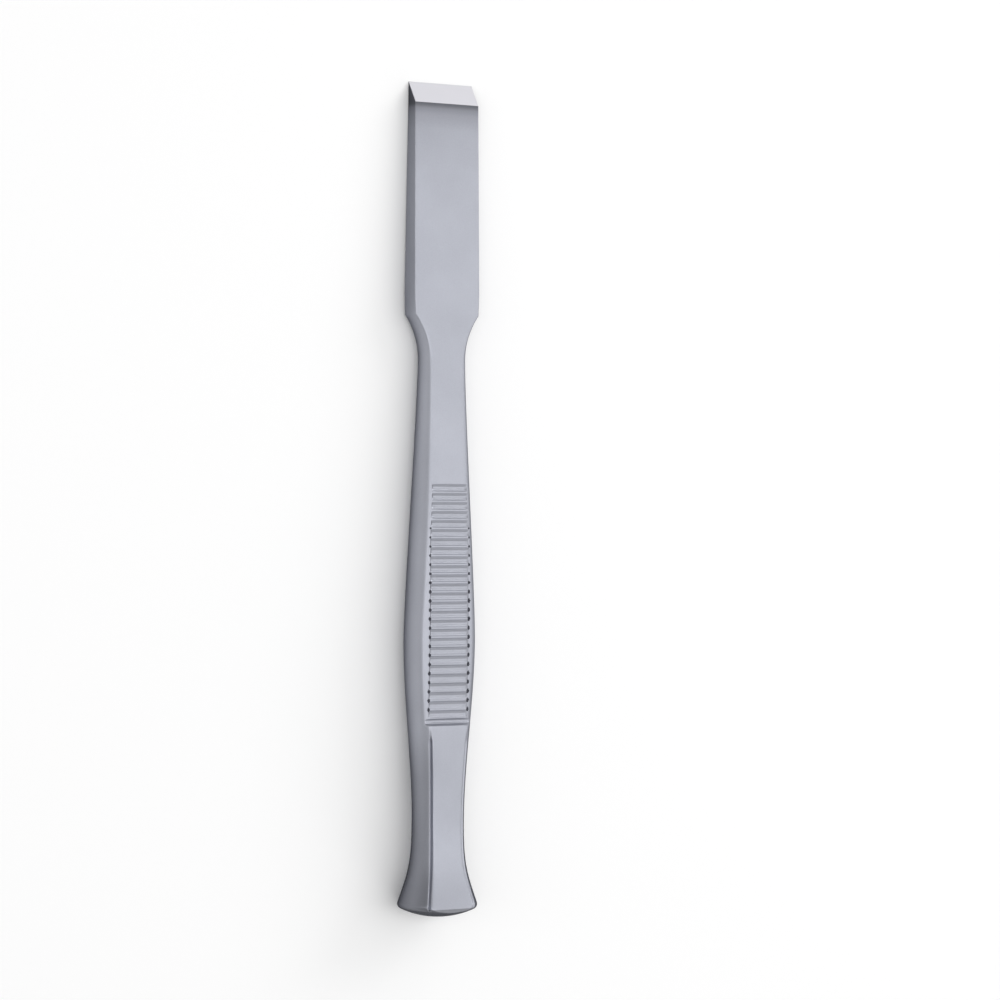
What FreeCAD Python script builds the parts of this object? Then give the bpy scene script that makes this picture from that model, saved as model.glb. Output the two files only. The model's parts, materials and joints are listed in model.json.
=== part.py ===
import FreeCAD, Part
import math
import os

from FreeCAD import Base

# One forged and ground piece of surgical steel: a flat blade with a single bevel, a waisted handle with round
# flanks and flat faces, a fluted finger grip, four grooves beside the lower flats, and a flared, domed head.
#
# While it is shaped, the length runs along +Y from the top of the domed head, the width along X, and the
# bevelled face looks along +Z. Stations are distances along the length, and half thicknesses and radii are
# taken from the long axis. At the end the piece is laid on its back, as it comes to rest on a table.

# Blade
overall_length = 170.0
blade_width = 15.0
blade_length = 47.4
blade_base_half_thickness = 2.4
blade_front_taper_deg = 1.2
blade_back_taper_deg = 1.0
blade_side_taper_deg = 0.2
bevel_angle_deg = 34.7
cutting_edge_land = 0.06
shoulder_sweep_radius = 15.5

# Round flanks of the handle, as radii about the long axis. A fullness is how far a flank keeps its direction
# on one side of a station before it turns to the next.
neck_radius = 4.82
neck_station = 113.6
neck_fullness = 10.0
grip_radius = 7.3
grip_station = 56.4
grip_fullness_up = 9.0
grip_fullness_down = 12.0
waist_radius = 5.33
waist_station = 19.7
waist_fullness_up = 12.0
waist_fullness_down = 9.0

# Flared head
rim_radius = 8.17
rim_round = 1.0
rim_flare_deg = 19.0
rim_fullness = 6.5
dome_radius = 18.0
dome_flat_radius = 0.6

# Rounding of the ridges between the flat faces and the flanks of the handle
ridge_round = 0.5

# Flat faces, front and back alike
panel_top_half_thickness = 3.84
grip_half_thickness = 4.27
panel_foot_half_thickness = 3.97
strap_top_half_thickness = 4.55
strap_waist_half_thickness = 4.05
strap_head_half_thickness = 7.3
strap_head_slope_deg = 17.1
strap_ramp_deg = 52.0

# Fluted grip panel, front and back alike
flute_count = 26
flute_pitch = 1.838
flute_top_station = 88.35
flute_depth = 0.36
flute_cutter_radius = 1.0
flute_half_length = 4.5
flute_side_margin = 0.36
flute_end_slope_deg = 50.0
end_groove_width = 0.88
end_groove_depth = 0.26
end_groove_land = 0.12

# Grooves beside the lower flats: an upright wall at the flat, and a floor that rises to the round flank
side_groove_depth = 0.55
side_groove_floor_rise_deg = 16.0
side_groove_top_station = 38.1
side_groove_plunge_length = 2.2
side_groove_waist_azimuth_deg = 43.8
side_groove_head_azimuth_deg = 40.3
side_groove_cutter_width = 1.5
side_groove_run_out = 6.0
side_groove_path_points = 5

# Share of a curve's span over which it leaves each end in that end's own direction
face_fullness = 0.35
# How far cutting and limiting shapes reach past the solid
clearance = 1.0

FRONT = 1
BACK = -1


def middle_plane(station, height):
    """A point of the middle plane, which holds the long axis and looks along X."""
    return Base.Vector(0.0, station, height)


def bezier(*poles):
    curve = Part.BezierCurve()
    curve.setPoles(list(poles))
    return curve


def height_at(curves, station):
    """Height at a station of the curve, among those given, that runs over it."""
    for curve in curves:
        ends = sorted((curve.value(0.0), curve.value(1.0)), key=lambda point: point.y)
        if ends[0].y <= station <= ends[1].y:
            rising = curve.value(1.0).y > curve.value(0.0).y
            low, high = 0.0, 1.0
            while high - low > 1e-9:
                middle = 0.5 * (low + high)
                if (curve.value(middle).y < station) == rising:
                    low = middle
                else:
                    high = middle
            return curve.value(low).z
    raise ValueError(f"no curve runs over station {station}")


def rim_round_centre():
    """Centre of the arc that rounds the rim, tangent to the inside of the dome's arc."""
    height = rim_radius - rim_round
    return middle_plane(dome_radius - math.sqrt((dome_radius - rim_round) ** 2 - height**2), height)


def flare_start():
    """The point where the rounded rim runs out into the flare."""
    flare = math.radians(rim_flare_deg)
    return rim_round_centre() + middle_plane(rim_round * math.sin(flare), rim_round * math.cos(flare))


def blade_base_station():
    return overall_length - blade_length


def panel_foot_station():
    """The end of the fluted panel, past its last flute, its end groove and the land beside the ramp."""
    return flute_top_station - flute_count * flute_pitch - end_groove_width - end_groove_land


def strap_top_station():
    """The top of the lower flat, at the head of the short ramp that leads up to it from the panel."""
    rise = strap_top_half_thickness - panel_foot_half_thickness
    return panel_foot_station() - rise / math.tan(math.radians(strap_ramp_deg))


def flank_curves():
    """The outline of the round flanks, from the rim of the head to the foot of the neck."""
    flare = math.radians(rim_flare_deg)
    along_flare = middle_plane(math.cos(flare), -math.sin(flare))
    rim_to_waist = bezier(
        flare_start(),
        flare_start() + along_flare * rim_fullness,
        middle_plane(waist_station - waist_fullness_down, waist_radius),
        middle_plane(waist_station, waist_radius),
    )
    waist_to_grip = bezier(
        middle_plane(waist_station, waist_radius),
        middle_plane(waist_station + waist_fullness_up, waist_radius),
        middle_plane(grip_station - grip_fullness_down, grip_radius),
        middle_plane(grip_station, grip_radius),
    )
    grip_to_neck = bezier(
        middle_plane(grip_station, grip_radius),
        middle_plane(grip_station + grip_fullness_up, grip_radius),
        middle_plane(neck_station - neck_fullness, neck_radius),
        middle_plane(neck_station, neck_radius),
    )
    return [rim_to_waist, waist_to_grip, grip_to_neck]


def head_arcs():
    """The domed end of the head, from the turned centre spot at its top, then its rounded rim."""
    centre = rim_round_centre()
    flat_angle = math.asin(dome_flat_radius / dome_radius)
    dome_angle = math.asin(centre.z / (dome_radius - rim_round))

    def on_dome(angle):
        return middle_plane(dome_radius * (1.0 - math.cos(angle)), dome_radius * math.sin(angle))

    def on_rim(angle):
        return centre + middle_plane(-rim_round * math.cos(angle), rim_round * math.sin(angle))

    flare_angle = math.radians(90.0 + rim_flare_deg)
    dome = Part.Arc(on_dome(flat_angle), on_dome(0.5 * dome_angle), on_dome(dome_angle))
    rim = Part.Arc(on_dome(dome_angle), on_rim(0.5 * (dome_angle + flare_angle)), flare_start())
    return [dome, rim]


def blank_radius():
    """Wide enough to hold the corners of the blade at its base."""
    return math.hypot(0.5 * blade_width, blade_base_half_thickness) + clearance


def shoulder_arc():
    """The arc that sweeps out from the neck, past the width of the blade."""
    turn = math.acos(1.0 - (blank_radius() - neck_radius) / shoulder_sweep_radius)

    def on_arc(angle):
        return middle_plane(
            neck_station + shoulder_sweep_radius * math.sin(angle),
            neck_radius + shoulder_sweep_radius * (1.0 - math.cos(angle)),
        )

    return Part.Arc(on_arc(0.0), on_arc(0.5 * turn), on_arc(turn))


def round_blank():
    """The turned form: the outline of the head and the flanks spun about the long axis."""
    sweep = shoulder_arc().toShape()
    sweep_end = sweep.valueAt(sweep.LastParameter)
    far_station = overall_length + clearance
    edges = [curve.toShape() for curve in head_arcs() + flank_curves()]
    edges.append(sweep)
    head_end = edges[0].valueAt(edges[0].FirstParameter)
    corners = [
        sweep_end,
        middle_plane(far_station, sweep_end.z),
        middle_plane(far_station, 0.0),
        middle_plane(head_end.y, 0.0),
        head_end,
    ]
    edges += [Part.makeLine(start, end) for start, end in zip(corners, corners[1:])]
    outline = Part.Face(Part.Wire(edges))
    return outline.revolve(Base.Vector(0, 0, 0), Base.Vector(0, 1, 0), 360.0)


def plan_limit():
    """The form seen from above: open at the handle, and as wide as the tapering blade from the neck on."""
    reach = blank_radius() + clearance
    far_station = overall_length + clearance
    side_slope = math.tan(math.radians(blade_side_taper_deg))

    def blade_side(station):
        return 0.5 * blade_width + side_slope * (blade_base_station() - station)

    right = [
        (reach, -clearance),
        (reach, neck_station),
        (blade_side(neck_station), neck_station),
        (blade_side(far_station), far_station),
    ]
    left = [(-across, station) for across, station in reversed(right)]
    corners = [Base.Vector(across, station, -reach) for across, station in right + left]
    outline = Part.Face(Part.makePolygon([*corners, corners[0]]))
    return outline.extrude(Base.Vector(0.0, 0.0, 2.0 * reach))


def strap_curves(side):
    """The lower flat on one side, from the end of the head past the waist to the top of the ramp."""
    slope = math.tan(math.radians(strap_head_slope_deg))
    head_to_waist = bezier(
        middle_plane(0.0, side * strap_head_half_thickness),
        middle_plane(rim_fullness, side * (strap_head_half_thickness - rim_fullness * slope)),
        middle_plane(waist_station - waist_fullness_down, side * strap_waist_half_thickness),
        middle_plane(waist_station, side * strap_waist_half_thickness),
    )
    strap_reach = face_fullness * (strap_top_station() - waist_station)
    waist_to_ramp = bezier(
        middle_plane(waist_station, side * strap_waist_half_thickness),
        middle_plane(waist_station + strap_reach, side * strap_waist_half_thickness),
        middle_plane(strap_top_station() - strap_reach, side * strap_top_half_thickness),
        middle_plane(strap_top_station(), side * strap_top_half_thickness),
    )
    return [head_to_waist, waist_to_ramp]


def panel_curves(side):
    """The face of the grip on one side, from the foot of the ramp to the top of the fluted panel."""
    foot = middle_plane(panel_foot_station(), side * panel_foot_half_thickness)
    lower_reach = face_fullness * (grip_station - panel_foot_station())
    panel_to_grip = bezier(
        foot,
        foot + middle_plane(lower_reach, 0.0),
        middle_plane(grip_station - lower_reach, side * grip_half_thickness),
        middle_plane(grip_station, side * grip_half_thickness),
    )
    base_fall = panel_top_half_thickness - blade_base_half_thickness
    taper = base_fall / (blade_base_station() - flute_top_station)
    upper_reach = face_fullness * (flute_top_station - grip_station)
    grip_to_top = bezier(
        middle_plane(grip_station, side * grip_half_thickness),
        middle_plane(grip_station + upper_reach, side * grip_half_thickness),
        middle_plane(
            flute_top_station - upper_reach,
            side * (panel_top_half_thickness + taper * upper_reach),
        ),
        middle_plane(flute_top_station, side * panel_top_half_thickness),
    )
    return [panel_to_grip, grip_to_top]


def blade_outline():
    """Corners of the blade seen from the side, from its front base round the cutting edge to its back base."""
    back_slope = math.tan(math.radians(blade_back_taper_deg))
    front_slope = math.tan(math.radians(blade_front_taper_deg))
    bevel_slope = math.tan(math.radians(bevel_angle_deg))
    edge_back = back_slope * blade_length - blade_base_half_thickness
    edge_front = edge_back + cutting_edge_land
    front_at_edge = blade_base_half_thickness - front_slope * blade_length
    bevel_length = (front_at_edge - edge_front) / (bevel_slope - front_slope)
    return [
        middle_plane(blade_base_station(), blade_base_half_thickness),
        middle_plane(overall_length - bevel_length, edge_front + bevel_slope * bevel_length),
        middle_plane(overall_length, edge_front),
        middle_plane(overall_length, edge_back),
        middle_plane(blade_base_station(), -blade_base_half_thickness),
    ]


def side_limit():
    """The form seen from the side: both flat faces and the blade as one outline, drawn out over the width."""
    blade = blade_outline()
    corners = {FRONT: blade[0], BACK: blade[-1]}
    edges = [Part.makeLine(start, end) for start, end in zip(blade, blade[1:])]
    slope = math.tan(math.radians(strap_head_slope_deg))
    head_half_thickness = strap_head_half_thickness + slope * clearance
    for side, corner in corners.items():
        strap = strap_curves(side)
        panel = panel_curves(side)
        edges += [curve.toShape() for curve in strap + panel]
        edges.append(Part.makeLine(strap[-1].value(1.0), panel[0].value(0.0)))
        edges.append(Part.makeLine(panel[-1].value(1.0), corner))
        edges.append(Part.makeLine(middle_plane(-clearance, side * head_half_thickness), strap[0].value(0.0)))
    edges.append(
        Part.makeLine(
            middle_plane(-clearance, FRONT * head_half_thickness),
            middle_plane(-clearance, BACK * head_half_thickness),
        )
    )
    outline = Part.Face(Part.Wire(Part.__sortEdges__(edges)))
    reach = blank_radius() + clearance
    outline.translate(Base.Vector(-reach, 0.0, 0.0))
    return outline.extrude(Base.Vector(2.0 * reach, 0.0, 0.0))


def is_handle_ridge(edge):
    """A long edge between a flat face and a flank, from the ramp to the neck."""
    middle = edge.valueAt(0.5 * (edge.FirstParameter + edge.LastParameter))
    lengthwise = edge.BoundBox.YLength > edge.BoundBox.XLength + edge.BoundBox.ZLength
    off_middle_planes = min(abs(middle.x), abs(middle.z)) > ridge_round
    return lengthwise and off_middle_planes and panel_foot_station() < middle.y < neck_station


def shaped_body():
    """The forging after its faces and flanks are ground and the handle's ridges rounded."""
    body = round_blank().common(plan_limit()).common(side_limit()).Solids[0]
    return body.makeFillet(ridge_round, [edge for edge in body.Edges if is_handle_ridge(edge)])


def flute_cutter(side, station):
    """A rod with sloping ends that lies across the panel and makes one flute with closed ends."""
    face_half_thickness = abs(height_at(panel_curves(side), station))
    flank_radius = height_at(flank_curves(), station)
    ridge_half_width = math.sqrt(flank_radius**2 - face_half_thickness**2)
    half_length = min(flute_half_length, ridge_half_width - flute_side_margin)
    end_slope = math.tan(math.radians(flute_end_slope_deg))
    floor_half_length = half_length - flute_depth / end_slope
    top_half_length = floor_half_length + flute_cutter_radius / end_slope
    axis_height = side * (face_half_thickness + flute_cutter_radius - flute_depth)
    floor_height = axis_height - side * flute_cutter_radius
    rod = Part.makeCylinder(
        flute_cutter_radius,
        2.0 * top_half_length,
        Base.Vector(-top_half_length, station, axis_height),
        Base.Vector(1, 0, 0),
    )
    corners = [
        Base.Vector(-floor_half_length, station - flute_cutter_radius, floor_height),
        Base.Vector(floor_half_length, station - flute_cutter_radius, floor_height),
        Base.Vector(top_half_length, station - flute_cutter_radius, axis_height),
        Base.Vector(-top_half_length, station - flute_cutter_radius, axis_height),
    ]
    ends = Part.Face(Part.makePolygon([*corners, corners[0]]))
    return rod.common(ends.extrude(Base.Vector(0.0, 2.0 * flute_cutter_radius, 0.0)))


def end_groove_cutter(side):
    """A thin rod that cuts the groove right across the face, between the last flute and the ramp."""
    depth = end_groove_depth
    radius = (0.25 * end_groove_width**2 + depth**2) / (2.0 * depth)
    station = panel_foot_station() + end_groove_land + 0.5 * end_groove_width
    face_half_thickness = abs(height_at(panel_curves(side), station))
    start = Base.Vector(-grip_radius, station, side * (face_half_thickness + radius - depth))
    return Part.makeCylinder(radius, 2.0 * grip_radius, start, Base.Vector(1, 0, 0))


def panel_cutters(side):
    stations = [flute_top_station - (index + 0.5) * flute_pitch for index in range(flute_count)]
    return [flute_cutter(side, station) for station in stations] + [end_groove_cutter(side)]


def side_groove_foot(hand, side, station, depth):
    """The foot of a side groove's wall, at a depth under the round flank."""
    toward_head = max(0.0, (waist_station - station) / (waist_station - flare_start().y))
    turn = side_groove_head_azimuth_deg - side_groove_waist_azimuth_deg
    azimuth = math.radians(side_groove_waist_azimuth_deg + turn * toward_head)
    reach = height_at(flank_curves(), station) - depth
    return Base.Vector(hand * reach * math.sin(azimuth), station, side * reach * math.cos(azimuth))


def side_groove_path(hand, side):
    """The cutter's path beside a lower flat: it plunges in, follows the flank and runs out past the head."""
    plunged_station = side_groove_top_station - side_groove_plunge_length
    head_station = flare_start().y
    points = [
        side_groove_foot(hand, side, side_groove_top_station + side_groove_plunge_length, -side_groove_depth),
        side_groove_foot(hand, side, side_groove_top_station, 0.0),
    ]
    for index in range(side_groove_path_points):
        share = index / (side_groove_path_points - 1)
        station = (1.0 - share) * plunged_station + share * head_station
        points.append(side_groove_foot(hand, side, station, side_groove_depth))
    points.append(points[-1] + (points[-1] - points[-2]).normalize() * side_groove_run_out)
    curve = Part.BSplineCurve()
    curve.interpolate(points)
    return curve.toShape()


def side_groove_cutter(hand, side):
    """A square-shouldered cutter, kept upright all along its path."""
    path = side_groove_path(hand, side)
    foot = path.valueAt(path.FirstParameter)
    width = side_groove_cutter_width
    rise = width * math.tan(math.radians(side_groove_floor_rise_deg))
    corners = [
        foot,
        foot + Base.Vector(hand * width, 0.0, side * rise),
        foot + Base.Vector(hand * width, 0.0, side * (rise + width)),
        foot + Base.Vector(0.0, 0.0, side * (rise + width)),
    ]
    sweep = Part.BRepOffsetAPI.MakePipeShell(Part.Wire([path]))
    sweep.setTrihedronMode(Base.Vector(0, 0, 0), Base.Vector(0, 1, 0))
    sweep.add(Part.makePolygon([*corners, corners[0]]))
    sweep.build()
    sweep.makeSolid()
    return sweep.shape()


def lay_on_back(body):
    """Turns the tool until its cutting edge and the back of its head lie level, and centres it over z = 0."""
    edge = blade_outline()[3]
    head = body.common(
        Part.makeBox(
            4.0 * rim_radius,
            waist_station + clearance,
            4.0 * rim_radius,
            Base.Vector(-2.0 * rim_radius, -clearance, -2.0 * rim_radius),
        )
    )
    low, high = 0.0, math.degrees(math.atan(2.0 * rim_radius / overall_length))
    while high - low > 1e-6:
        angle = 0.5 * (low + high)
        turned = head.rotated(edge, Base.Vector(1, 0, 0), -angle)
        if turned.optimalBoundingBox(False, False).ZMin < edge.z:
            low = angle
        else:
            high = angle
    laid = body.rotated(edge, Base.Vector(1, 0, 0), -high)
    box = laid.optimalBoundingBox(False, False)
    laid.translate(Base.Vector(-box.Center.x, -box.Center.y, -box.ZMin))
    return laid, high


def build():
    """The finished tool at rest, and the angle that laying it down turned it by."""
    body = shaped_body()
    cutters = panel_cutters(FRONT) + panel_cutters(BACK)
    cutters += [side_groove_cutter(hand, side) for hand in (1, -1) for side in (FRONT, BACK)]
    body = body.cut(cutters).Solids[0]
    return lay_on_back(body)


def main():
    os.makedirs("parts", exist_ok=True)
    chisel, rest_angle = build()
    chisel.exportStep("parts/chisel.step")
    box = chisel.optimalBoundingBox(False, False)
    print(f"chisel: valid {chisel.isValid()}, volume {chisel.Volume:.1f} mm3, laid down by {rest_angle:.3f} deg")
    print(f"size {box.XLength:.3f} x {box.YLength:.3f} x {box.ZLength:.3f} mm")


main()
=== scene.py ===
"""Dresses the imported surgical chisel: one forged piece of satin steel with a ground bevel."""

from __future__ import annotations

import json
import logging
import math
from dataclasses import dataclass, field, replace
from enum import Enum

import bmesh
import bpy
from mathutils import Matrix, Vector

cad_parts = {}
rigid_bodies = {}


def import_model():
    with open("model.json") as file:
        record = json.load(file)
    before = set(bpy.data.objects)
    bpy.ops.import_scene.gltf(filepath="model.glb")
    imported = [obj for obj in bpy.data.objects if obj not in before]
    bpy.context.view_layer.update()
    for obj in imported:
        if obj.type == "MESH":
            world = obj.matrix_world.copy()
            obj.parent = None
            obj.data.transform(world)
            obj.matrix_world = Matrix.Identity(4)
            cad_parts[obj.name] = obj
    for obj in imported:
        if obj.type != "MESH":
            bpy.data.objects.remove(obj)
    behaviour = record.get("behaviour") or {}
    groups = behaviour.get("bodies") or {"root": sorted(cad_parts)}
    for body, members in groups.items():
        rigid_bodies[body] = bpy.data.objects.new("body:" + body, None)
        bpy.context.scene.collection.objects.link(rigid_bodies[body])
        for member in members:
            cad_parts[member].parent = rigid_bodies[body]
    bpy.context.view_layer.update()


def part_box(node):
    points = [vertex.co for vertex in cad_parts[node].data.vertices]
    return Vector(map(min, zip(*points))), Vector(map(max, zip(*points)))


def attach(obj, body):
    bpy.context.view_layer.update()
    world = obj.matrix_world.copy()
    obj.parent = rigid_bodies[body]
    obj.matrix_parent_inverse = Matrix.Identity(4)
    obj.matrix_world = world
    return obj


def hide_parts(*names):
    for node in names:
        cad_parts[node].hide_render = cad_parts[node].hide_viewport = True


LOG = logging.getLogger("surgical_chisel")
MILLIMETRE = 0.001
# How far the tool leans when it lies on its cutting edge and the back of its head
TOOL_TILT = math.radians(1.803)
# A smaller sine or cosine is taken as none
SMALLEST_SINE = 1e-6
# How often a span is halved to find a point of a curve
HALVINGS = 40
FINE_DETAIL = 3.0
COARSE_DETAIL = 2.0
# The largest value of one noise, and of two that are added
NOISE_TOP = 1.0
NOISE_SUM_TOP = 2.0


class Face(Enum):
    """The two flat faces of the tool, by the sign of their height."""

    FRONT = 1
    BACK = -1


class SteelZone(Enum):
    """The parts of the surface by material index: finished in different ways, or darkened with
    painted shade.
    """

    SATIN = 0
    GROUND = 1
    HEAD_SHADE = 2
    PIT_SHADE = 3
    LOWER_FLANK_SHADE = 4


def steps(start: float, end: float, count: int) -> list[float]:
    """Evenly spaced values from a start to an end, both included."""
    return [start + (end - start) * index / count for index in range(count + 1)]


@dataclass(frozen=True)
class Curve:
    """A cubic curve through stations and heights, in millimetres."""

    poles: tuple[tuple[float, float], ...]

    def at(self, share: float) -> tuple[float, float]:
        """Station and height at a share of the curve from 0 to 1."""
        rest = 1.0 - share
        weights = (rest**3, 3.0 * rest**2 * share, 3.0 * rest * share**2, share**3)
        station = sum(weight * pole[0] for weight, pole in zip(weights, self.poles))
        height = sum(weight * pole[1] for weight, pole in zip(weights, self.poles))
        return station, height

    def covers(self, station: float) -> bool:
        """Whether the curve runs over a station."""
        return self.poles[0][0] <= station <= self.poles[-1][0]

    def height(self, station: float) -> float:
        """Height at a station that the curve runs over."""
        low, high = 0.0, 1.0
        for _ in range(HALVINGS):
            middle = 0.5 * (low + high)
            if self.at(middle)[0] < station:
                low = middle
            else:
                high = middle
        return self.at(low)[1]


@dataclass
class ForgedOutline:
    """The sizes of the forging: stations from the top of the head, in millimetres."""

    overall_length: float = 170.0
    blade_width: float = 15.0
    blade_length: float = 47.4
    blade_base_half_thickness: float = 2.4
    blade_front_taper: float = math.tan(math.radians(1.2))
    blade_back_taper: float = math.tan(math.radians(1.0))
    blade_side_taper: float = math.tan(math.radians(0.2))
    bevel_slope: float = math.tan(math.radians(34.7))
    cutting_edge_land: float = 0.06
    shoulder_sweep_radius: float = 15.5
    neck_radius: float = 4.82
    neck_station: float = 113.6
    neck_fullness: float = 10.0
    grip_radius: float = 7.3
    grip_station: float = 56.4
    grip_fullness_up: float = 9.0
    grip_fullness_down: float = 12.0
    waist_radius: float = 5.33
    waist_station: float = 19.7
    waist_fullness_up: float = 12.0
    waist_fullness_down: float = 9.0
    rim_radius: float = 8.17
    rim_round: float = 1.0
    rim_flare: float = math.radians(19.0)
    rim_fullness: float = 6.5
    dome_radius: float = 18.0
    dome_flat_radius: float = 0.6
    panel_top_half_thickness: float = 3.84
    grip_half_thickness: float = 4.27
    panel_foot_half_thickness: float = 3.97
    strap_top_half_thickness: float = 4.55
    strap_waist_half_thickness: float = 4.05
    strap_head_half_thickness: float = 7.3
    strap_head_slope: float = math.tan(math.radians(17.1))
    strap_ramp_slope: float = math.tan(math.radians(52.0))
    panel_top_station: float = 88.35
    panel_foot_station: float = 39.562
    face_fullness: float = 0.35
    flanks: list[Curve] = field(init=False)
    faces: list[Curve] = field(init=False)

    def __post_init__(self) -> None:
        """Works out the curves of the flanks and of the flat faces from the sizes."""
        rim = self.flare_start()
        flare_run = self.rim_fullness * math.cos(self.rim_flare)
        flare_fall = self.rim_fullness * math.sin(self.rim_flare)
        waist_foot = self.waist_station - self.waist_fullness_down
        self.flanks = [
            Curve(
                (
                    rim,
                    (rim[0] + flare_run, rim[1] - flare_fall),
                    (waist_foot, self.waist_radius),
                    (self.waist_station, self.waist_radius),
                )
            ),
            Curve(
                (
                    (self.waist_station, self.waist_radius),
                    (self.waist_station + self.waist_fullness_up, self.waist_radius),
                    (self.grip_station - self.grip_fullness_down, self.grip_radius),
                    (self.grip_station, self.grip_radius),
                )
            ),
            Curve(
                (
                    (self.grip_station, self.grip_radius),
                    (self.grip_station + self.grip_fullness_up, self.grip_radius),
                    (self.neck_station - self.neck_fullness, self.neck_radius),
                    (self.neck_station, self.neck_radius),
                )
            ),
        ]
        strap_reach = self.face_fullness * (self.strap_top_station() - self.waist_station)
        lower_reach = self.face_fullness * (self.grip_station - self.panel_foot_station)
        upper_reach = self.face_fullness * (self.panel_top_station - self.grip_station)
        head_fall = self.rim_fullness * self.strap_head_slope
        upper_start = self.panel_top_half_thickness + self.upper_taper() * upper_reach
        self.faces = [
            Curve(
                (
                    (0.0, self.strap_head_half_thickness),
                    (self.rim_fullness, self.strap_head_half_thickness - head_fall),
                    (waist_foot, self.strap_waist_half_thickness),
                    (self.waist_station, self.strap_waist_half_thickness),
                )
            ),
            Curve(
                (
                    (self.waist_station, self.strap_waist_half_thickness),
                    (self.waist_station + strap_reach, self.strap_waist_half_thickness),
                    (self.strap_top_station() - strap_reach, self.strap_top_half_thickness),
                    (self.strap_top_station(), self.strap_top_half_thickness),
                )
            ),
            Curve(
                (
                    (self.panel_foot_station, self.panel_foot_half_thickness),
                    (self.panel_foot_station + lower_reach, self.panel_foot_half_thickness),
                    (self.grip_station - lower_reach, self.grip_half_thickness),
                    (self.grip_station, self.grip_half_thickness),
                )
            ),
            Curve(
                (
                    (self.grip_station, self.grip_half_thickness),
                    (self.grip_station + upper_reach, self.grip_half_thickness),
                    (self.panel_top_station - upper_reach, upper_start),
                    (self.panel_top_station, self.panel_top_half_thickness),
                )
            ),
        ]

    def blade_base_station(self) -> float:
        """Where the blade starts, past the shoulders."""
        return self.overall_length - self.blade_length

    def strap_top_station(self) -> float:
        """The top of the lower flat, at the head of the short ramp."""
        rise = self.strap_top_half_thickness - self.panel_foot_half_thickness
        return self.panel_foot_station - rise / self.strap_ramp_slope

    def upper_taper(self) -> float:
        """Fall of each face per millimetre from the top of the fluted panel to the blade."""
        fall = self.panel_top_half_thickness - self.blade_base_half_thickness
        return fall / (self.blade_base_station() - self.panel_top_station)

    def rim_centre(self) -> tuple[float, float]:
        """Station and height of the centre of the rim's rounding."""
        height = self.rim_radius - self.rim_round
        below = math.sqrt((self.dome_radius - self.rim_round) ** 2 - height**2)
        return self.dome_radius - below, height

    def rim_start_angle(self) -> float:
        """Angle at the dome's centre where the rim's rounding starts."""
        return math.asin(self.rim_centre()[1] / (self.dome_radius - self.rim_round))

    def flare_start(self) -> tuple[float, float]:
        """Station and height where the rounded rim runs out into the flare."""
        centre = self.rim_centre()
        return (
            centre[0] + self.rim_round * math.sin(self.rim_flare),
            centre[1] + self.rim_round * math.cos(self.rim_flare),
        )

    def blade_half_width(self, station: float) -> float:
        """Half width of the tapering blade, drawn on over the shoulders."""
        past_base = station - self.blade_base_station()
        return 0.5 * self.blade_width - self.blade_side_taper * past_base

    def blank_radius(self) -> float:
        """A radius that lies outside the corners of the blade."""
        return math.hypot(0.5 * self.blade_width, self.blade_base_half_thickness) + 1.0

    def flank_radius(self, station: float) -> float:
        """Radius of the round flanks about the long axis.

        Args:
            station: Distance from the top of the head, in millimetres.

        Returns:
            The radius in millimetres, past the corners of the section on the blade.
        """
        if station <= self.dome_radius * (1.0 - math.cos(self.rim_start_angle())):
            return math.sqrt(max(0.0, self.dome_radius**2 - (self.dome_radius - station) ** 2))
        if station <= self.flare_start()[0]:
            rim_station, rim_height = self.rim_centre()
            rise = math.sqrt(max(0.0, self.rim_round**2 - (station - rim_station) ** 2))
            return rim_height + rise
        for curve in self.flanks:
            if curve.covers(station):
                return curve.height(station)
        past = station - self.neck_station
        if past >= self.shoulder_sweep_radius:
            return self.blank_radius()
        rise = self.shoulder_sweep_radius - math.sqrt(self.shoulder_sweep_radius**2 - past**2)
        return min(self.blank_radius(), self.neck_radius + rise)

    def cutting_edge_heights(self) -> tuple[float, float]:
        """Heights of the front and the back of the cutting edge."""
        back = self.blade_back_taper * self.blade_length - self.blade_base_half_thickness
        return back + self.cutting_edge_land, back

    def bevel_station(self) -> float:
        """Where the bevel meets the front of the blade."""
        front_at_edge = self.blade_base_half_thickness - self.blade_front_taper * self.blade_length
        rise = front_at_edge - self.cutting_edge_heights()[0]
        return self.overall_length - rise / (self.bevel_slope - self.blade_front_taper)

    def face_height(self, station: float, face: Face) -> float:
        """Height of a flat face, without its flutes.

        Args:
            station: Distance from the top of the head, in millimetres.
            face: The front or the back of the tool.

        Returns:
            The signed height over the long axis, in millimetres.
        """
        along = station - self.blade_base_station()
        if along > 0.0:
            if face is Face.BACK:
                return self.blade_back_taper * along - self.blade_base_half_thickness
            if station > self.bevel_station():
                below = self.bevel_slope * (self.overall_length - station)
                return self.cutting_edge_heights()[0] + below
            return self.blade_base_half_thickness - self.blade_front_taper * along
        if station > self.panel_top_station:
            return face.value * (self.blade_base_half_thickness - self.upper_taper() * along)
        if self.strap_top_station() < station < self.panel_foot_station:
            below = self.strap_ramp_slope * (station - self.strap_top_station())
            return face.value * (self.strap_top_half_thickness - below)
        for curve in self.faces:
            if curve.covers(station):
                return face.value * curve.height(station)
        return face.value * self.strap_head_half_thickness


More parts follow.
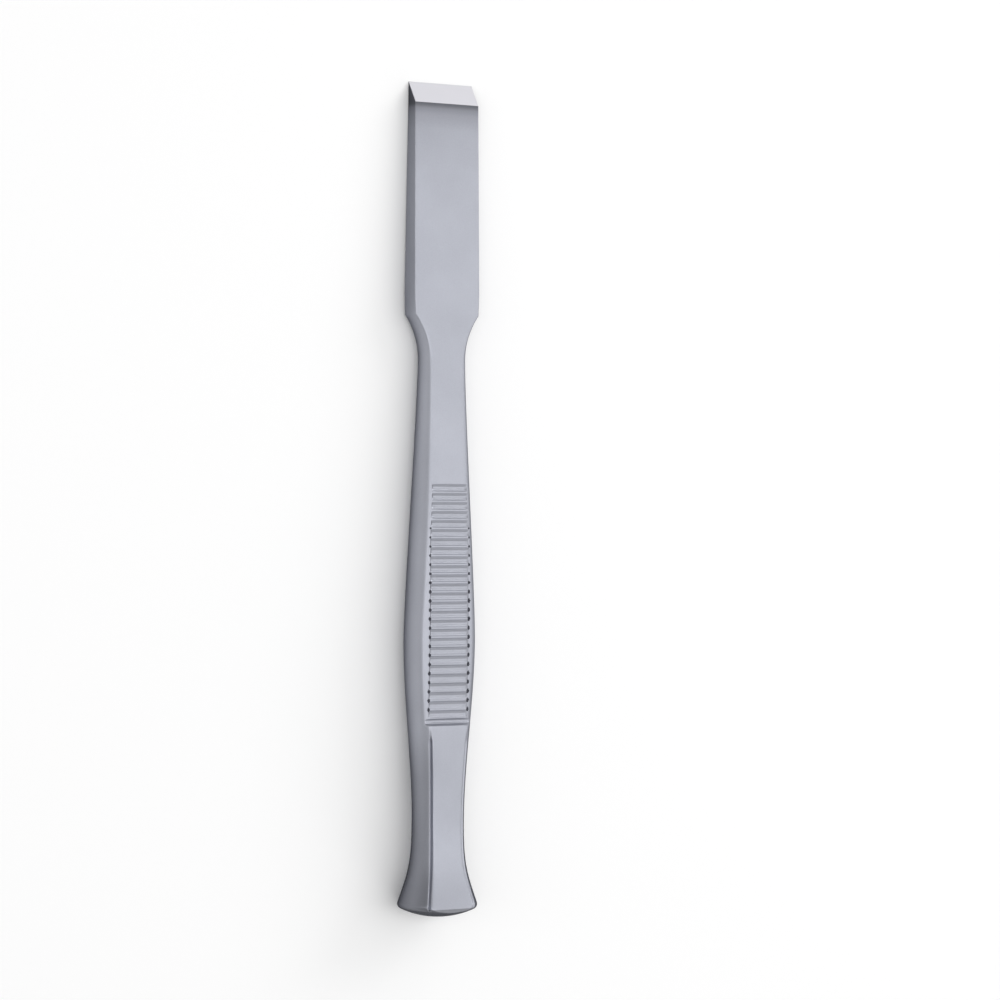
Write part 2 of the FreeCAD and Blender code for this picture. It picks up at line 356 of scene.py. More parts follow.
@dataclass
class GripFlutes:
    """The closed-end flutes across the grip and the groove below them, in millimetres."""

    count: int = 26
    pitch: float = 1.838
    depth: float = 0.36
    cutter_radius: float = 1.0
    half_length: float = 4.5
    side_margin: float = 0.36
    end_slope: float = math.tan(math.radians(50.0))
    end_groove_width: float = 0.88
    end_groove_depth: float = 0.26
    end_groove_land: float = 0.12
    first_pitted_land: int = 5
    full_pitted_land: int = 13
    first_pit_size: float = 0.55
    pit_half_length: float = 0.42
    pit_half_width: float = 0.31
    pit_depth: float = 0.16
    steps_across: int = 10

    def stations(self, outline: ForgedOutline) -> list[float]:
        """Middle line of each flute, from the top of the panel down."""
        top = outline.panel_top_station
        return [top - (index + 0.5) * self.pitch for index in range(self.count)]

    def ring_stations(self, outline: ForgedOutline) -> list[float]:
        """Stations that the body needs so that its rings follow the flutes and the groove."""
        half_width = math.sqrt(self.cutter_radius**2 - (self.cutter_radius - self.depth) ** 2)
        turns = [math.pi * step / self.steps_across for step in range(self.steps_across + 1)]
        rings = []
        for middle in self.stations(outline):
            rings += [middle - half_width * math.cos(turn) for turn in turns]
            rings.append(middle + 0.5 * self.pitch)
        groove = self.groove_station(outline)
        rings += [groove - 0.5 * self.end_groove_width * math.cos(turn) for turn in turns[1:]]
        return rings

    def groove_station(self, outline: ForgedOutline) -> float:
        """Middle line of the groove between the last flute and the ramp."""
        return outline.panel_foot_station + self.end_groove_land + 0.5 * self.end_groove_width

    def reach(self, outline: ForgedOutline, station: float) -> float:
        """Half length of a flute at a station, clear of the ridges."""
        radius = outline.flank_radius(station)
        half_thickness = outline.face_height(station, Face.FRONT)
        ridge = math.sqrt(max(0.0, radius**2 - half_thickness**2))
        return min(self.half_length, ridge - self.side_margin)

    def pit_share(self, outline: ForgedOutline, station: float, across: float) -> float:
        """How deep a point lies in the small pit at the end of a land between two flutes.

        Args:
            outline: The forging that the flutes are cut into.
            station: Distance from the top of the head, in millimetres.
            across: Distance from the middle plane, in millimetres.

        Returns:
            The share of the pit's depth, from 0 outside it to 1 at its middle.
        """
        index = round((outline.panel_top_station - station) / self.pitch)
        if not self.first_pitted_land <= index < self.count:
            return 0.0
        land = outline.panel_top_station - index * self.pitch
        growing = self.full_pitted_land - self.first_pitted_land
        grown = min(1.0, (index - self.first_pitted_land) / growing)
        size = self.first_pit_size + (1.0 - self.first_pit_size) * grown
        along = (station - land) / (size * self.pit_half_length)
        if abs(along) >= 1.0 or abs(across) > self.half_length + self.pit_half_width:
            return 0.0
        aside = (abs(across) - self.reach(outline, land)) / (size * self.pit_half_width)
        return max(0.0, 1.0 - math.hypot(along, aside))

    def sunk_height(
        self, outline: ForgedOutline, station: float, across: float, height: float
    ) -> float:
        """Height of a point of a flat face after the flutes and the lands' pits are cut.

        Args:
            outline: The forging that the flutes are cut into.
            station: Distance from the top of the head, in millimetres.
            across: Distance from the middle plane, in millimetres.
            height: Unsigned height of the uncut surface there.

        Returns:
            The unsigned height in millimetres.
        """
        height -= self.pit_depth * self.pit_share(outline, station, across)
        index = round((outline.panel_top_station - station) / self.pitch - 0.5)
        if 0 <= index < self.count:
            middle = outline.panel_top_station - (index + 0.5) * self.pitch
            offset = station - middle
            if abs(offset) < self.cutter_radius and abs(across) < self.half_length:
                past_floor = abs(across) - self.reach(outline, middle) + self.depth / self.end_slope
                floor = outline.face_height(middle, Face.FRONT) - self.depth
                sunk = floor + self.cutter_radius - math.sqrt(self.cutter_radius**2 - offset**2)
                return min(height, max(sunk, floor + past_floor * self.end_slope))
        offset = station - self.groove_station(outline)
        if abs(offset) < 0.5 * self.end_groove_width:
            depth = self.end_groove_depth
            radius = (0.25 * self.end_groove_width**2 + depth**2) / (2.0 * depth)
            axis = outline.face_height(self.groove_station(outline), Face.FRONT) + radius - depth
            return min(height, axis - math.sqrt(radius**2 - offset**2))
        return height


@dataclass
class SideGrooves:
    """The four grooves beside the lower flats: an upright wall and a floor rising to the flank."""

    depth: float = 0.55
    floor_rise: float = math.tan(math.radians(16.0))
    top_station: float = 38.1
    plunge: float = 2.2
    waist_azimuth: float = math.radians(43.8)
    head_azimuth: float = math.radians(40.3)
    foot_sharpness: float = 160.0
    flattest_fall: float = 0.02
    least_turn: float = 0.004

    def foot(self, outline: ForgedOutline, station: float) -> tuple[float, float]:
        """Distance from the middle plane and unsigned height of the foot of the wall."""
        rim = outline.flare_start()[0]
        toward_head = (outline.waist_station - station) / (outline.waist_station - rim)
        turn = (self.head_azimuth - self.waist_azimuth) * min(1.0, max(0.0, toward_head))
        share = min(1.0, max(0.0, (self.top_station - station) / self.plunge))
        depth = self.depth * share if station < self.top_station else self.top_station - station
        reach = outline.flank_radius(max(station, rim)) - depth
        azimuth = self.waist_azimuth + turn
        return reach * math.sin(azimuth), reach * math.cos(azimuth)

    def allowed_radius(self, outline: ForgedOutline, station: float, azimuth: float) -> float:
        """Radius that the groove leaves of the section, infinite away from it.

        Args:
            outline: The forging that the grooves are cut into.
            station: Distance from the top of the head, in millimetres.
            azimuth: Angle about the long axis from the middle plane, within a quarter turn.

        Returns:
            The radius in millimetres.
        """
        if station >= self.top_station:
            return math.inf
        across, height = self.foot(outline, station)
        wall = across / max(math.sin(azimuth), SMALLEST_SINE)
        fall = math.cos(azimuth) - self.floor_rise * math.sin(azimuth)
        if fall < self.flattest_fall:
            return math.inf
        floor = (height - self.floor_rise * across) / fall
        largest = max(wall, floor)
        share = (min(wall, floor) / largest) ** self.foot_sharpness
        return largest * (1.0 + share) ** (1.0 / self.foot_sharpness)

    def break_azimuths(
        self, outline: ForgedOutline, station: float, half_thickness: float
    ) -> tuple[float, float, float]:
        """Azimuths of the flat's edge, of the wall's foot and of the floor's far edge.

        Args:
            outline: The forging that the grooves are cut into.
            station: Distance from the top of the head, in millimetres.
            half_thickness: Half of the section's thickness there.

        Returns:
            The three azimuths, in rising order.
        """
        across, height = self.foot(outline, station)
        radius = outline.flank_radius(max(station, outline.flare_start()[0]))
        steepness = 1.0 + self.floor_rise**2
        lean = across + height * self.floor_rise
        short_of_flank = radius**2 - across**2 - height**2
        run = (math.sqrt(max(0.0, lean**2 + steepness * short_of_flank)) - lean) / steepness
        run = max(0.0, run)
        flat_edge = math.atan2(across, half_thickness)
        foot = math.atan2(across, height)
        far_edge = math.atan2(across + run, height + run * self.floor_rise)
        return min(flat_edge, foot - self.least_turn), foot, max(far_edge, foot + self.least_turn)


@dataclass
class RestingPlace:
    """How the forging lies: turned about its cutting edge and placed by the CAD node's box."""

    angle: float = TOOL_TILT
    node: str = "chisel"

    def settle(self, mesh: bmesh.types.BMesh) -> None:
        """Lays the mesh down in place, in metres."""
        turn = Matrix.Rotation(-self.angle, 4, "X") @ Matrix.Scale(MILLIMETRE, 4)
        bmesh.ops.transform(mesh, matrix=turn, verts=mesh.verts)
        low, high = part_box(self.node)
        stations = [vertex.co.y for vertex in mesh.verts]
        heights = [vertex.co.z for vertex in mesh.verts]
        middle = 0.5 * (min(stations) + max(stations))
        shift = Vector((0.0, 0.5 * (low.y + high.y) - middle, low.z - min(heights)))
        bmesh.ops.translate(mesh, vec=shift, verts=mesh.verts)


@dataclass(frozen=True)
class NodeWeb:
    """Adds and links the nodes of one material."""

    tree: bpy.types.NodeTree

    def add(
        self,
        kind: str,
        links: dict[str | int, bpy.types.NodeSocket] | None = None,
        operation: str | None = None,
    ) -> bpy.types.Node:
        """Adds a node and links its inputs.

        Args:
            kind: The node's type.
            links: The sockets that feed its inputs, by the input's name or number.
            operation: The operation of a math node.

        Returns:
            The new node.
        """
        node = self.tree.nodes.new(kind)
        if operation:
            node.operation = operation
        for name, source in (links or {}).items():
            self.tree.links.new(source, node.inputs[name])
        return node

    def noise(
        self, place: bpy.types.NodeSocket, scale: float, detail: float
    ) -> bpy.types.NodeSocket:
        """A noise over the given coordinates, from 0 to 1."""
        node = self.add("ShaderNodeTexNoise", {"Vector": place})
        node.inputs["Scale"].default_value = scale
        node.inputs["Detail"].default_value = detail
        return node.outputs["Fac"]

    def sum(
        self, first: bpy.types.NodeSocket, second: bpy.types.NodeSocket
    ) -> bpy.types.NodeSocket:
        """The sum of two values."""
        return self.add("ShaderNodeMath", {0: first, 1: second}, operation="ADD").outputs["Value"]

    def spread(
        self, value: bpy.types.NodeSocket, top: float, middle: float, reach: float
    ) -> bpy.types.NodeSocket:
        """Maps a value between 0 and its top onto a reach below and above a middle."""
        node = self.add("ShaderNodeMapRange", {"Value": value})
        node.inputs["From Max"].default_value = top
        node.inputs["To Min"].default_value = middle - reach
        node.inputs["To Max"].default_value = middle + reach
        return node.outputs["Result"]


@dataclass(frozen=True)
class SteelFinishAndShade:
    """A procedural finish of bare stainless steel, also used for painted shade. Lengths are in
    millimetres.

    A shade can darken the finish along the tool: it starts at a place on the Y axis, runs towards
    the head, and has levels at stops that are shares of its length.
    """

    name: str
    colour: tuple[float, float, float]
    grazing_tint: float
    roughness: float
    roughness_spread: float
    tone_spread: float
    grain_length: float
    grain_width: float
    grain_height: float
    pit_size: float
    pit_height: float
    cloud_size: float = 9.0
    along: tuple[float, float, float] = (0.0, 1.0, 0.0)
    shade_start: float = 80.69
    shade_length: float = 14.0
    shade_stops: tuple[tuple[float, float], ...] = ()

    def material(self) -> bpy.types.Material:
        """Builds the node material for this finish or painted shade."""
        steel = bpy.data.materials.new(self.name)
        steel.use_nodes = True
        web = NodeWeb(steel.node_tree)
        shader = steel.node_tree.nodes["Principled BSDF"]
        shader.inputs["Metallic"].default_value = 1.0
        shader.inputs["Specular Tint"].default_value = (*[self.grazing_tint] * 3, 1.0)
        place = web.add("ShaderNodeTexCoord").outputs["Object"]

        stretch = web.add("ShaderNodeMapping", {"Vector": place})
        across = 1.0 / (self.grain_width * MILLIMETRE)
        lengthwise = 1.0 / (self.grain_length * MILLIMETRE)
        stretch.inputs["Scale"].default_value = [
            lengthwise if axis else across for axis in self.along
        ]
        grain = web.noise(stretch.outputs["Vector"], 1.0, FINE_DETAIL)
        pits = web.noise(place, 1.0 / (self.pit_size * MILLIMETRE), COARSE_DETAIL)
        clouds = web.noise(place, 1.0 / (self.cloud_size * MILLIMETRE), COARSE_DETAIL)

        tone = web.spread(web.sum(pits, clouds), NOISE_SUM_TOP, 1.0, self.tone_spread)
        if self.shade_stops:
            tone = self.shaded(web, place, tone)
        colour = web.add("ShaderNodeVectorMath", {"Scale": tone}, operation="SCALE")
        colour.inputs[0].default_value = self.colour
        web.tree.links.new(colour.outputs["Vector"], shader.inputs["Base Color"])
        sheen = web.spread(grain, NOISE_TOP, self.roughness, self.roughness_spread)
        web.tree.links.new(sheen, shader.inputs["Roughness"])

        brushed = web.add("ShaderNodeBump", {"Height": grain})
        brushed.inputs["Distance"].default_value = self.grain_height * MILLIMETRE
        blasted = web.add("ShaderNodeBump", {"Height": pits, "Normal": brushed.outputs["Normal"]})
        blasted.inputs["Distance"].default_value = self.pit_height * MILLIMETRE
        web.tree.links.new(blasted.outputs["Normal"], shader.inputs["Normal"])
        return steel

    def shaded(
        self, web: NodeWeb, place: bpy.types.NodeSocket, tone: bpy.types.NodeSocket
    ) -> bpy.types.NodeSocket:
        """Darkens the tone along the tool by the shade's stops.

        Args:
            web: The material's nodes.
            place: The object coordinates.
            tone: The tone before the shade.

        Returns:
            The shaded tone.
        """
        apart = web.add("ShaderNodeSeparateXYZ", {"Vector": place})
        run = web.add("ShaderNodeMapRange", {"Value": apart.outputs["Y"]})
        end = self.shade_start - self.shade_length
        run.inputs["From Min"].default_value = self.shade_start * MILLIMETRE
        run.inputs["From Max"].default_value = end * MILLIMETRE
        ramp = web.add("ShaderNodeValToRGB", {"Fac": run.outputs["Result"]})
        while len(ramp.color_ramp.elements) < len(self.shade_stops):
            ramp.color_ramp.elements.new(1.0)
        for element, (position, level) in zip(ramp.color_ramp.elements, self.shade_stops):
            element.position = position
            element.color = (level, level, level, 1.0)
        factors = {0: tone, 1: ramp.outputs["Color"]}
        return web.add("ShaderNodeMath", factors, operation="MULTIPLY").outputs["Value"]


SATIN_STEEL = SteelFinishAndShade(
    name="satin_steel_blasted",
    colour=(0.374, 0.384, 0.43),
    grazing_tint=0.08,
    roughness=0.42,
    roughness_spread=0.05,
    tone_spread=0.14,
    grain_length=6.0,
    grain_width=0.14,
    grain_height=0.003,
    pit_size=0.22,
    pit_height=0.012,
    # The shade stops darken the blade towards the bevel's shoulder, deepest at it, on every side of
    # the blade.
    shade_stops=((0.0, 0.33), (0.03, 0.36), (0.08, 0.6), (0.165, 0.755), (0.385, 0.92), (1.0, 1.0)),
)
GROUND_STEEL = SteelFinishAndShade(
    name="satin_steel_ground_bevel",
    colour=(0.66, 0.655, 0.695),
    grazing_tint=1.0,
    roughness=0.34,
    roughness_spread=0.03,
    tone_spread=0.03,
    grain_length=4.0,
    grain_width=0.06,
    grain_height=0.001,
    pit_size=0.1,
    pit_height=0.002,
    along=(1.0, 0.0, 0.0),
)
# Painted shade: the end of the head's dome is painted darker to stand for the shade that falls on
# it.
HEAD_SHADE_STEEL = replace(
    SATIN_STEEL,
    name="satin_steel_head_painted_shade",
    colour=(0.215, 0.22, 0.24),
    roughness=0.46,
    shade_stops=(),
)
# Painted shade: the small pits at the ends of the lands are painted nearly black for the shade
# inside them.
PIT_SHADE_STEEL = replace(
    SATIN_STEEL,
    name="satin_steel_pit_painted_shade",
    colour=(0.07, 0.07, 0.085),
    roughness=0.6,
    shade_stops=(),
)
# Painted shade: the lower flanks, beyond the side grooves, are darkened more and more towards the
# head.
LOWER_FLANK_SHADE_STEEL = replace(
    SATIN_STEEL,
    name="satin_steel_lower_flank_painted_shade",
    shade_start=-46.9,
    shade_length=36.0,
    shade_stops=((0.0, 1.0), (0.25, 0.76), (0.6, 0.66), (1.0, 0.58)),
)


@dataclass(frozen=True)
class RingCounts:
    """How many rings of points each part of the tool gets, and the least gap between two."""

    dome: int = 26
    rim: int = 14
    flare: int = 44
    lower_handle: int = 30
    plunge: int = 16
    groove_top: int = 4
    ramp: int = 2
    neck: int = 34
    shoulders: int = 30
    blade: int = 10
    bevel: int = 5
    least_gap: float = 0.004


@dataclass
class ForgedChisel:
    """The whole tool as one smooth closed mesh: head, handle, grip, neck and blade."""

    outline: ForgedOutline = field(default_factory=ForgedOutline)
    flutes: GripFlutes = field(default_factory=GripFlutes)
    grooves: SideGrooves = field(default_factory=SideGrooves)
    rest: RestingPlace = field(default_factory=RestingPlace)
    rings: RingCounts = field(default_factory=RingCounts)
    groove_sharpness: float = 60.0
    handle_sharpness: float = 18.0
    blade_sharpness: float = 48.0
    # How far from the top of the head the dome gets painted shade
    head_shade_reach: float = 2.1
    flat_columns: tuple[float, ...] = (
        *(0.1 * step for step in range(7)),
        *(0.66, 0.71, 0.74, 0.77, 0.79, 0.81, 0.83, 0.85, 0.87, 0.89, 0.92, 0.96),
    )
    edge_columns: int = 14
    edge_reach: float = 0.7
    blade_edge_share: float = 0.8
    # A groove's columns are as many as a ridge's: the eased edges, the wall and the floor
    groove_ease: float = 0.028
    ease_before: tuple[float, ...] = (1.0, 0.4, 0.0)
    ease_after: tuple[float, ...] = (0.0, 0.6, 1.6)
    wall_columns: tuple[float, ...] = (0.12, 0.4, 0.7, 0.9)
    floor_columns: tuple[float, ...] = (0.0, 0.08, 0.35, 0.65, 0.9)
    groove_blend: float = 0.5
    flank_columns: int = 13
    weld_gap: float = 1e-5
    crease_angle: float = math.radians(28.0)
    bevel_least_up: float = 0.5
    bevel_least_forward: float = 0.3
    pit_least_up: float = 0.3

    def ring_stations(self) -> list[float]:
        """Stations of the rings, close together where the form changes fast."""
        form, counts = self.outline, self.rings
        rim_angle = form.rim_start_angle()
        first_angle = math.asin(form.dome_flat_radius / form.dome_radius)
        dome_turns = steps(first_angle, rim_angle, counts.dome)
        rings = [form.dome_radius * (1.0 - math.cos(turn)) for turn in dome_turns]
        rim_turns = steps(rim_angle, math.pi / 2.0 + form.rim_flare, counts.rim)
        centre = form.rim_centre()[0]
        rings += [centre - form.rim_round * math.cos(turn) for turn in rim_turns[1:]]
        groove_top = self.grooves.top_station
        plunged = groove_top - self.grooves.plunge
        for start, end, count in (
            (form.flare_start()[0], form.waist_station, counts.flare),
            (form.waist_station, plunged, counts.lower_handle),
            (plunged, groove_top, counts.plunge),
            (groove_top, form.strap_top_station(), counts.groove_top),
            (form.strap_top_station(), form.panel_foot_station, counts.ramp),
            (form.panel_top_station, form.neck_station, counts.neck),
            (form.neck_station, form.blade_base_station(), counts.shoulders),
            (form.blade_base_station(), form.bevel_station(), counts.blade),
            (form.bevel_station(), form.overall_length, counts.bevel),
        ):
            rings += steps(start, end, count)
        rings += self.flutes.ring_stations(form)
        rings.append(self.head_shade_reach)
        rings.sort()
        kept = [rings[0]]
        for station in rings[1:]:
            if station - kept[-1] > counts.least_gap:
                kept.append(station)
        return kept

    def section_radius(self, station: float, azimuth: float, half_thickness: float) -> float:
        """Radius of the section before the flutes, with its ridges and long edges eased.

        Args:
            station: Distance from the top of the head, in millimetres.
            azimuth: Angle about the section's middle, from 0 at the face to a quarter turn.
            half_thickness: Half of the section's thickness there.

        Returns:
            The radius in millimetres.
        """
        form = self.outline
        limits = [form.flank_radius(station), self.grooves.allowed_radius(form, station, azimuth)]
        if math.cos(azimuth) > SMALLEST_SINE:
            limits.append(half_thickness / math.cos(azimuth))
        if station > form.neck_station and math.sin(azimuth) > SMALLEST_SINE:
            limits.append(form.blade_half_width(station) / math.sin(azimuth))
        nearest = min(limits)
        sharpness = self.edge_sharpness(station)
        blunting = sum((nearest / limit) ** sharpness for limit in limits)
        return nearest * blunting ** (-1.0 / sharpness)

    def edge_sharpness(self, station: float) -> float:
        """How sharp the long edges are: crisp at the grooves and the blade, soft in between."""
        form = self.outline
        points = (
            (self.grooves.top_station, self.groove_sharpness),
            (form.panel_foot_station, self.handle_sharpness),
            (form.neck_station, self.handle_sharpness),
            (form.blade_base_station(), self.blade_sharpness),
        )
        for (start, before), (end, after) in zip(points, points[1:]):
            if start <= station <= end:
                return before + (after - before) * (station - start) / (end - start)
        below_grip = station < self.grooves.top_station
        return self.groove_sharpness if below_grip else self.blade_sharpness

    def corner_azimuth(self, station: float, half_thickness: float) -> float:
        """Azimuth of the ridge, or of the blade's long edge."""
        radius = self.outline.flank_radius(station)
        if radius <= half_thickness:
            return self.grooves.head_azimuth
        across = math.sqrt(radius**2 - half_thickness**2)
        if station > self.outline.neck_station:
            across = min(across, self.outline.blade_half_width(station))
        return math.atan2(across, half_thickness)

    def ridge_columns(self, station: float, half_thickness: float) -> list[float]:
        """Azimuths of the points that round a ridge or a long edge, closest at its middle."""
        corner = self.corner_azimuth(station, half_thickness)
        across = math.tan(corner) * half_thickness
        reach = across / math.sin(corner)
        azimuths = []
        for index in range(self.edge_columns + 1):
            offset = self.edge_reach * (2.0 * index / self.edge_columns - 1.0)
            offset *= abs(offset) / self.edge_reach
            if offset <= 0.0:
                azimuths.append(math.atan2(across + offset, half_thickness))
            elif station > self.outline.blade_base_station():
                deepest = self.blade_edge_share * half_thickness
                drop = min(offset, deepest * offset / self.edge_reach)
                azimuths.append(math.atan2(across, half_thickness - drop))
            else:
                azimuths.append(corner + offset / reach)
        return azimuths

    def groove_columns(self, station: float, half_thickness: float) -> list[float]:
        """Azimuths of the points that follow a groove's edges, wall and floor."""
        edge, foot, far = self.grooves.break_azimuths(self.outline, station, half_thickness)
        before = [edge - self.groove_ease * share for share in self.ease_before]
        wall = [edge + (foot - edge) * share for share in self.wall_columns]
        floor = [foot + (far - foot) * share for share in self.floor_columns]
        after = [far + self.groove_ease * share for share in self.ease_after]
        return before + wall + floor + after

    def column_azimuths(self, station: float, half_thickness: float) -> list[float]:
        """Azimuths of the ring's points over a quarter turn, gathered at the ridge or the groove.

        Args:
            station: Distance from the top of the head, in millimetres.
            half_thickness: Half of the section's thickness there.

        Returns:
            The azimuths from the middle of the flat face to the middle of the flank.
        """
        columns = self.ridge_columns(station, half_thickness)
        share = min(1.0, max(0.0, self.grooves.top_station + self.groove_blend - station))
        if share > 0.0:
            grooved = self.groove_columns(station, half_thickness)
            pairs = zip(columns, grooved)
            columns = [(1.0 - share) * ridge + share * groove for ridge, groove in pairs]
        first, last = columns[0], columns[-1]
        flat_reach = math.tan(first) * half_thickness
        flat = [math.atan2(flat_reach * share, half_thickness) for share in self.flat_columns]
        return flat + columns + steps(last, 0.5 * math.pi, self.flank_columns)[1:]

    def ring(self, station: float) -> list[Vector]:
        """Points of one ring about the long axis, in millimetres.

        Args:
            station: Distance from the top of the head, in millimetres.

        Returns:
            The closed ring, with its first point repeated at the end.
        """
        form = self.outline
        front = form.face_height(station, Face.FRONT)
        back = form.face_height(station, Face.BACK)
        middle, half_thickness = 0.5 * (front + back), 0.5 * (front - back)
        quarter = []
        for azimuth in self.column_azimuths(station, half_thickness):
            radius = self.section_radius(station, azimuth, half_thickness)
            across, height = radius * math.sin(azimuth), radius * math.cos(azimuth)
            quarter.append((across, self.flutes.sunk_height(form, station, across, height)))
        right_front = [(across, height) for across, height in quarter]
        right_back = [(across, -height) for across, height in reversed(quarter[:-1])]
        left_back = [(-across, -height) for across, height in quarter[1:]]
        left_front = [(-across, height) for across, height in reversed(quarter[:-1])]
        points = right_front + right_back + left_back + left_front
        return [Vector((across, station, middle + height)) for across, height in points]

    def lofted(self) -> bmesh.types.BMesh:
        """The closed body: a grid wrapped round the long axis, then closed at both ends."""
        rings = [self.ring(station) for station in self.ring_stations()]
        around, along = len(rings[0]) - 1, len(rings) - 1
        mesh = bmesh.new()
        bmesh.ops.create_grid(mesh, x_segments=around, y_segments=along, size=0.5)
        for vertex in mesh.verts:
            column = round((vertex.co.x + 0.5) * around)
            row = round((vertex.co.y + 0.5) * along)
            vertex.co = rings[row][column]
        bmesh.ops.remove_doubles(mesh, verts=mesh.verts, dist=self.weld_gap)
        rims = [edge for edge in mesh.edges if edge.is_boundary]
        bmesh.ops.holes_fill(mesh, edges=rims, sides=0)
        bmesh.ops.recalc_face_normals(mesh, faces=mesh.faces)
        LOG.info("body: %d rings of %d points, %d faces", len(rings), around, len(mesh.faces))
        return mesh

    def zone(self, part: bmesh.types.BMFace) -> SteelZone:
        """The finish or painted shade that a face of the mesh gets."""
        form, middle, out = self.outline, part.calc_center_median(), part.normal
        bevelled = out.z > self.bevel_least_up and out.y > self.bevel_least_forward
        if middle.y > form.bevel_station() and bevelled:
            return SteelZone.GROUND
        # Painted shade on the end of the head's dome
        if middle.y < self.head_shade_reach:
            return SteelZone.HEAD_SHADE
        # Painted shade in the pits at the ends of the lands
        pitted = self.flutes.pit_share(form, middle.y, middle.x) > 0.0
        if pitted and abs(out.z) > self.pit_least_up:
            return SteelZone.PIT_SHADE
        # Painted shade on the lower flanks beyond the side grooves
        if middle.y < self.grooves.top_station:
            half_thickness = form.face_height(middle.y, Face.FRONT)
            far_edge = self.grooves.break_azimuths(form, middle.y, half_thickness)[2]
            if math.atan2(abs(middle.x), abs(middle.z)) > far_edge:
                return SteelZone.LOWER_FLANK_SHADE
        return SteelZone.SATIN

    def dress(self, mesh: bmesh.types.BMesh) -> None:
        """Marks the finish or painted shade of each face and the creases of the shaded surface."""
        for part in mesh.faces:
            part.smooth = True
            part.material_index = self.zone(part).value
        for edge in mesh.edges:
            edge.smooth = edge.is_manifold and edge.calc_face_angle(0.0) < self.crease_angle

    def build(self) -> bpy.types.Object:
        """Makes the finished piece and lets it stand for its CAD node."""
        mesh = self.lofted()
        self.dress(mesh)
        self.rest.settle(mesh)
        data = bpy.data.meshes.new("forged_chisel")
        mesh.to_mesh(data)
        mesh.free()
        for finish in (SATIN_STEEL, GROUND_STEEL, HEAD_SHADE_STEEL, PIT_SHADE_STEEL, LOWER_FLANK_SHADE_STEEL):
            data.materials.append(finish.material())
        piece = bpy.data.objects.new("forged_chisel", data)
        bpy.context.scene.collection.objects.link(piece)
        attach(piece, "root")
        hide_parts(self.rest.node)
        return piece


@dataclass(frozen=True)
class SoftLamp:
    """A square soft lamp that looks at the tool. Place and size are in metres."""

    name: str
    place: tuple[float, float, float]
    size: float
    radiance: float

    def hang(self) -> bpy.types.Object:
        """Adds the lamp to the scene."""
        light = bpy.data.lights.new(self.name, "AREA")
        light.size = self.size
        light.energy = self.radiance * math.pi * self.size**2
        lamp = bpy.data.objects.new(self.name, light)
        lamp.location = self.place
        lamp.rotation_euler = Vector(self.place).to_track_quat("Z", "Y").to_euler()
        bpy.context.scene.collection.objects.link(lamp)
        return lamp


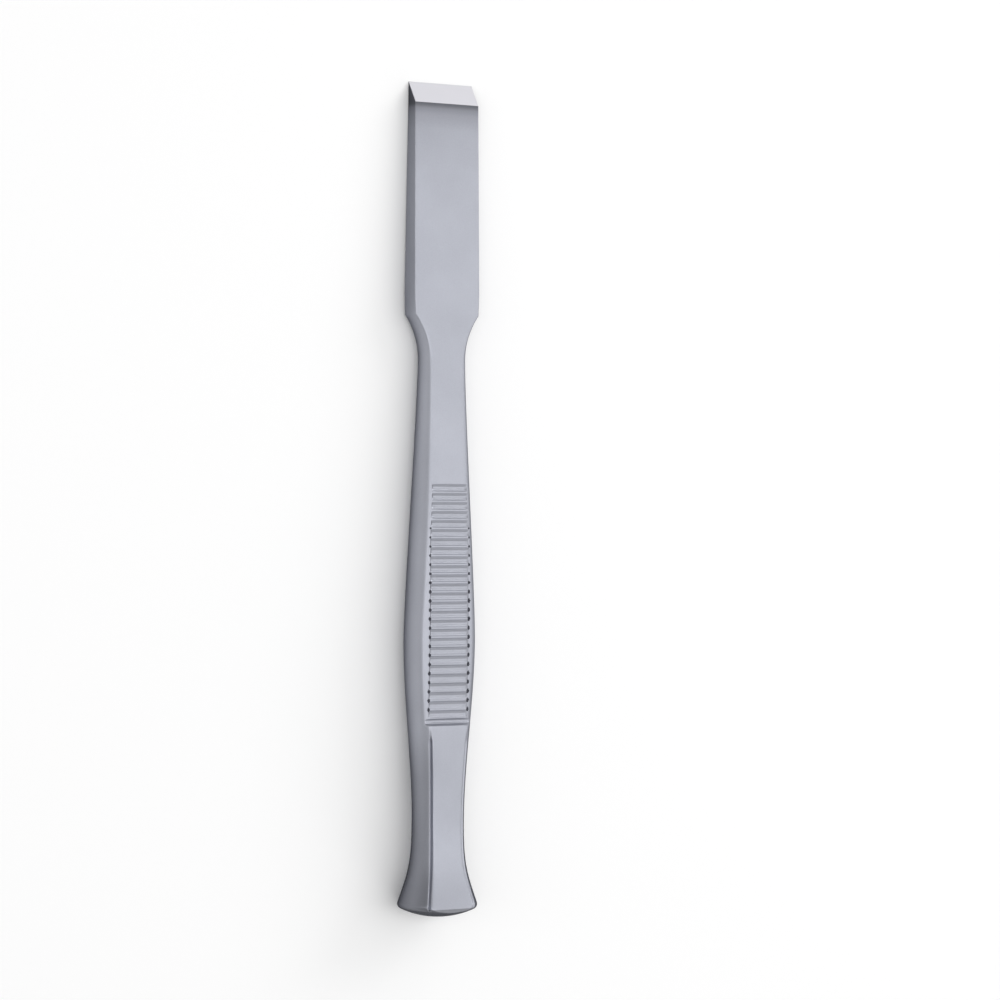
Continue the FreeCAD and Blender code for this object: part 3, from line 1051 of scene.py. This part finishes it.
@dataclass
class Studio:
    """The pale floor, the soft lamps and the camera. Lengths are in metres."""

    floor_side: float = 4.0
    floor_colour: tuple[float, float, float] = (0.98, 0.98, 0.98)
    sky: float = 0.46
    camera_distance: float = 0.69
    camera_azimuth: float = math.radians(30.0)
    camera_roll: float = math.radians(0.47)
    lens: float = 121.7
    sensor_width: float = 36.0
    nearest: float = 0.01
    farthest: float = 20.0
    aim_aside: float = 0.01217
    tool_middle: tuple[float, float, float] = (0.0, 0.000038, 0.004246)
    lamps: tuple[SoftLamp, ...] = (
        SoftLamp("key_lamp", (0.85, 0.55, 0.45), 0.5, 3.7),
        SoftLamp("overhead_lamp", (0.0, 0.0, 1.1), 0.5, 1.9),
        SoftLamp("face_lamp", (0.52, 0.0, 0.91), 0.6, 1.42),
        SoftLamp("camera_side_lamp", (-0.52, 0.0, 0.91), 0.5, 2.1),
        SoftLamp("left_high_lamp", (-0.9, 0.0, 0.6), 0.5, 0.8),
        SoftLamp("left_low_lamp", (-1.1, 0.0, 0.2), 0.5, 0.5),
        SoftLamp("right_low_lamp", (1.0, 0.15, 0.36), 0.4, 0.57),
        SoftLamp("tip_lamp", (0.45, 0.82, 0.42), 0.6, 0.97),
        SoftLamp("head_lamp", (0.45, -0.82, 0.45), 0.6, 0.85),
    )

    def lay_floor(self) -> bpy.types.Object:
        """A plain pale floor under the tool."""
        mesh = bmesh.new()
        bmesh.ops.create_grid(mesh, x_segments=1, y_segments=1, size=0.5 * self.floor_side)
        data = bpy.data.meshes.new("pale_floor")
        mesh.to_mesh(data)
        mesh.free()
        paper = bpy.data.materials.new("pale_floor_paper")
        paper.use_nodes = True
        shader = paper.node_tree.nodes["Principled BSDF"]
        shader.inputs["Base Color"].default_value = (*self.floor_colour, 1.0)
        shader.inputs["Roughness"].default_value = 1.0
        shader.inputs["Specular IOR Level"].default_value = 0.0
        data.materials.append(paper)
        floor = bpy.data.objects.new("pale_floor", data)
        bpy.context.scene.collection.objects.link(floor)
        return floor

    def light(self) -> None:
        """Hangs the lamps and sets an even pale sky."""
        world = bpy.data.worlds.new("soft_studio")
        world.use_nodes = True
        background = world.node_tree.nodes["Background"]
        background.inputs["Color"].default_value = (1.0, 1.0, 1.0, 1.0)
        background.inputs["Strength"].default_value = self.sky
        bpy.context.scene.world = world
        for lamp in self.lamps:
            lamp.hang()

    def place_camera(self) -> bpy.types.Object:
        """Puts the camera over the lying tool, so that the tool stands upright in the picture."""
        along = Vector((0.0, math.cos(TOOL_TILT), -math.sin(TOOL_TILT)))
        out = Vector((0.0, math.sin(TOOL_TILT), math.cos(TOOL_TILT)))
        across = Vector((1.0, 0.0, 0.0))
        back = out * math.cos(self.camera_azimuth) - across * math.sin(self.camera_azimuth)
        right = across * math.cos(self.camera_azimuth) + out * math.sin(self.camera_azimuth)
        aim = Vector(self.tool_middle) + right * self.aim_aside
        turned_right = right * math.cos(self.camera_roll) + along * math.sin(self.camera_roll)
        turned_up = along * math.cos(self.camera_roll) - right * math.sin(self.camera_roll)
        view = bpy.data.cameras.new("photo_view")
        view.lens = self.lens
        view.sensor_width = self.sensor_width
        view.clip_start = self.nearest
        view.clip_end = self.farthest
        camera = bpy.data.objects.new("photo_view", view)
        turn = Matrix((turned_right, turned_up, back)).transposed().to_4x4()
        camera.matrix_world = Matrix.Translation(aim + back * self.camera_distance) @ turn
        bpy.context.scene.collection.objects.link(camera)
        bpy.context.scene.camera = camera
        return camera


def main() -> None:
    """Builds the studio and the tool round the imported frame."""
    logging.basicConfig(level=logging.INFO, format="%(name)s: %(message)s")
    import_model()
    studio = Studio()
    studio.place_camera()
    studio.lay_floor()
    studio.light()
    piece = ForgedChisel().build()
    LOG.info("%s rides on root, %d vertices", piece.name, len(piece.data.vertices))
    bpy.context.scene.view_settings.view_transform = "Standard"


if __name__ == "__main__":
    main()
